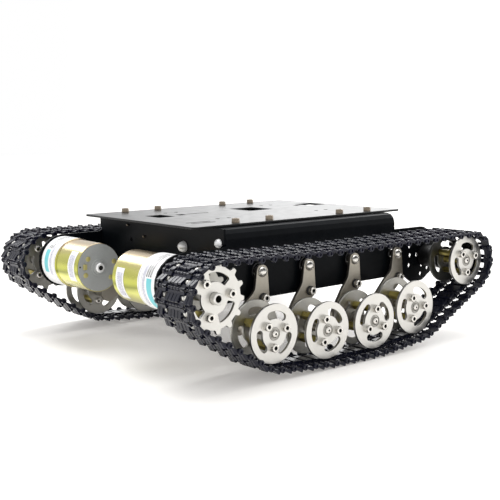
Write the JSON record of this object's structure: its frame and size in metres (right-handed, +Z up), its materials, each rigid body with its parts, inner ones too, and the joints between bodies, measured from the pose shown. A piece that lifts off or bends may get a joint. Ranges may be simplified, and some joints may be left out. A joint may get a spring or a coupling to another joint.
{
  "type": "tracked tank chassis",
  "caption": "Tracked robot chassis: sheet-metal hull on sprung swing-arm road wheels, geared drive motors with toothed sprockets, front idlers and link tracks.",
  "frame": {"origin": "on the ground, under the middle of the object's box", "axes": "+X forwards to the idlers, +Y to the left side, +Z up"},
  "size_m": [0.2802, 0.2568, 0.096],
  "materials": {
    "black_sheet": "satin black powder coat",
    "disc_steel": "satin silver plate",
    "arm_steel": "matt nickel",
    "yellow_zinc": "iridescent yellow passivated zinc",
    "grey_cap": "moulded grey",
    "dark_steel": "dark oxide",
    "spring_steel": "bare wire",
    "track_plastic": "slightly glossy moulded black"
  },
  "bodies": {
    "chassis": {"deck_plate": "black_sheet", "right_side_plate": "black_sheet", "left_side_plate": "black_sheet", "rear_panel": "black_sheet", "front_panel": "black_sheet", "right_gearbox": "yellow_zinc", "right_motor_can": "yellow_zinc", "right_motor_cap": "grey_cap", "right_idler_axle": "dark_steel", "right_track": "track_plastic", "right_spring_1": "spring_steel", "right_spring_2": "spring_steel", "right_spring_3": "spring_steel", "right_spring_4": "spring_steel", "left_gearbox": "yellow_zinc", "left_motor_can": "yellow_zinc", "left_motor_cap": "grey_cap", "left_idler_axle": "dark_steel", "left_track": "track_plastic", "left_spring_1": "spring_steel", "left_spring_2": "spring_steel", "left_spring_3": "spring_steel", "left_spring_4": "spring_steel"},
    "right_sprocket": {"right_drive_hub": "disc_steel", "right_sprocket_outer": "disc_steel", "right_sprocket_inner": "disc_steel"},
    "right_idler": {"right_idler_outer": "disc_steel", "right_idler_inner": "disc_steel"},
    "right_arm_1": {"right_arm_1": "arm_steel"},
    "right_wheel_1": {"right_wheel_1_outer": "disc_steel", "right_wheel_1_inner": "disc_steel"},
    "right_arm_2": {"right_arm_2": "arm_steel"},
    "right_wheel_2": {"right_wheel_2_outer": "disc_steel", "right_wheel_2_inner": "disc_steel"},
    "right_arm_3": {"right_arm_3": "arm_steel"},
    "right_wheel_3": {"right_wheel_3_outer": "disc_steel", "right_wheel_3_inner": "disc_steel"},
    "right_arm_4": {"right_arm_4": "arm_steel"},
    "right_wheel_4": {"right_wheel_4_outer": "disc_steel", "right_wheel_4_inner": "disc_steel"},
    "left_sprocket": {"left_drive_hub": "disc_steel", "left_sprocket_outer": "disc_steel", "left_sprocket_inner": "disc_steel"},
    "left_idler": {"left_idler_outer": "disc_steel", "left_idler_inner": "disc_steel"},
    "left_arm_1": {"left_arm_1": "arm_steel"},
    "left_wheel_1": {"left_wheel_1_outer": "disc_steel", "left_wheel_1_inner": "disc_steel"},
    "left_arm_2": {"left_arm_2": "arm_steel"},
    "left_wheel_2": {"left_wheel_2_outer": "disc_steel", "left_wheel_2_inner": "disc_steel"},
    "left_arm_3": {"left_arm_3": "arm_steel"},
    "left_wheel_3": {"left_wheel_3_outer": "disc_steel", "left_wheel_3_inner": "disc_steel"},
    "left_arm_4": {"left_arm_4": "arm_steel"},
    "left_wheel_4": {"left_wheel_4_outer": "disc_steel", "left_wheel_4_inner": "disc_steel"}
  },
  "joints": [
    {"name": "right_sprocket_spin", "type": "hinge", "parent": "chassis", "child": "right_sprocket", "pos_m": [-0.1158, -0.10925, 0.0563], "axis": [0, 1, 0], "continuous": true},
    {"name": "right_idler_spin", "type": "hinge", "parent": "chassis", "child": "right_idler", "pos_m": [0.1172, -0.10925, 0.0563], "axis": [0, 1, 0], "continuous": true},
    {"name": "right_arm_1_swing", "type": "hinge", "parent": "chassis", "child": "right_arm_1", "pos_m": [-0.0505, -0.10925, 0.0613], "axis": [0, 1, 0], "range_deg": [0, 7], "stiffness_Nm_per_rad": 0.4, "springref_deg": -8.59},
    {"name": "right_wheel_1_spin", "type": "hinge", "parent": "right_arm_1", "child": "right_wheel_1", "pos_m": [-0.0699, -0.10925, 0.0282], "axis": [0, 1, 0], "continuous": true},
    {"name": "right_arm_2_swing", "type": "hinge", "parent": "chassis", "child": "right_arm_2", "pos_m": [-0.0086, -0.10925, 0.0613], "axis": [0, 1, 0], "range_deg": [0, 7], "stiffness_Nm_per_rad": 0.4, "springref_deg": -8.59},
    {"name": "right_wheel_2_spin", "type": "hinge", "parent": "right_arm_2", "child": "right_wheel_2", "pos_m": [-0.0244, -0.10925, 0.0239], "axis": [0, 1, 0], "continuous": true},
    {"name": "right_arm_3_swing", "type": "hinge", "parent": "chassis", "child": "right_arm_3", "pos_m": [0.0356, -0.10925, 0.0613], "axis": [0, 1, 0], "range_deg": [0, 7], "stiffness_Nm_per_rad": 0.4, "springref_deg": -8.59},
    {"name": "right_wheel_3_spin", "type": "hinge", "parent": "right_arm_3", "child": "right_wheel_3", "pos_m": [0.0198, -0.10925, 0.0239], "axis": [0, 1, 0], "continuous": true},
    {"name": "right_arm_4_swing", "type": "hinge", "parent": "chassis", "child": "right_arm_4", "pos_m": [0.0806, -0.10925, 0.0613], "axis": [0, 1, 0], "range_deg": [0, 3.5], "stiffness_Nm_per_rad": 0.4, "springref_deg": -8.59},
    {"name": "right_wheel_4_spin", "type": "hinge", "parent": "right_arm_4", "child": "right_wheel_4", "pos_m": [0.0609, -0.10925, 0.0282], "axis": [0, 1, 0], "continuous": true},
    {"name": "left_sprocket_spin", "type": "hinge", "parent": "chassis", "child": "left_sprocket", "pos_m": [-0.1158, 0.10925, 0.0563], "axis": [0, 1, 0], "continuous": true},
    {"name": "left_idler_spin", "type": "hinge", "parent": "chassis", "child": "left_idler", "pos_m": [0.1172, 0.10925, 0.0563], "axis": [0, 1, 0], "continuous": true},
    {"name": "left_arm_1_swing", "type": "hinge", "parent": "chassis", "child": "left_arm_1", "pos_m": [-0.0505, 0.10925, 0.0613], "axis": [0, 1, 0], "range_deg": [0, 7], "stiffness_Nm_per_rad": 0.4, "springref_deg": -8.59},
    {"name": "left_wheel_1_spin", "type": "hinge", "parent": "left_arm_1", "child": "left_wheel_1", "pos_m": [-0.0699, 0.10925, 0.0282], "axis": [0, 1, 0], "continuous": true},
    {"name": "left_arm_2_swing", "type": "hinge", "parent": "chassis", "child": "left_arm_2", "pos_m": [-0.0086, 0.10925, 0.0613], "axis": [0, 1, 0], "range_deg": [0, 7], "stiffness_Nm_per_rad": 0.4, "springref_deg": -8.59},
    {"name": "left_wheel_2_spin", "type": "hinge", "parent": "left_arm_2", "child": "left_wheel_2", "pos_m": [-0.0244, 0.10925, 0.0239], "axis": [0, 1, 0], "continuous": true},
    {"name": "left_arm_3_swing", "type": "hinge", "parent": "chassis", "child": "left_arm_3", "pos_m": [0.0356, 0.10925, 0.0613], "axis": [0, 1, 0], "range_deg": [0, 7], "stiffness_Nm_per_rad": 0.4, "springref_deg": -8.59},
    {"name": "left_wheel_3_spin", "type": "hinge", "parent": "left_arm_3", "child": "left_wheel_3", "pos_m": [0.0198, 0.10925, 0.0239], "axis": [0, 1, 0], "continuous": true},
    {"name": "left_arm_4_swing", "type": "hinge", "parent": "chassis", "child": "left_arm_4", "pos_m": [0.0806, 0.10925, 0.0613], "axis": [0, 1, 0], "range_deg": [0, 3.5], "stiffness_Nm_per_rad": 0.4, "springref_deg": -8.59},
    {"name": "left_wheel_4_spin", "type": "hinge", "parent": "left_arm_4", "child": "left_wheel_4", "pos_m": [0.0609, 0.10925, 0.0282], "axis": [0, 1, 0], "continuous": true}
  ],
  "couplings": [
    {"joint": "right_idler_spin", "follows": "right_sprocket_spin", "ratio": 1.0747},
    {"joint": "right_wheel_1_spin", "follows": "right_sprocket_spin", "ratio": 1.0221},
    {"joint": "right_wheel_2_spin", "follows": "right_sprocket_spin", "ratio": 1.0221},
    {"joint": "right_wheel_3_spin", "follows": "right_sprocket_spin", "ratio": 1.0221},
    {"joint": "right_wheel_4_spin", "follows": "right_sprocket_spin", "ratio": 1.0221},
    {"joint": "left_idler_spin", "follows": "left_sprocket_spin", "ratio": 1.0747},
    {"joint": "left_wheel_1_spin", "follows": "left_sprocket_spin", "ratio": 1.0221},
    {"joint": "left_wheel_2_spin", "follows": "left_sprocket_spin", "ratio": 1.0221},
    {"joint": "left_wheel_3_spin", "follows": "left_sprocket_spin", "ratio": 1.0221},
    {"joint": "left_wheel_4_spin", "follows": "left_sprocket_spin", "ratio": 1.0221}
  ]
}
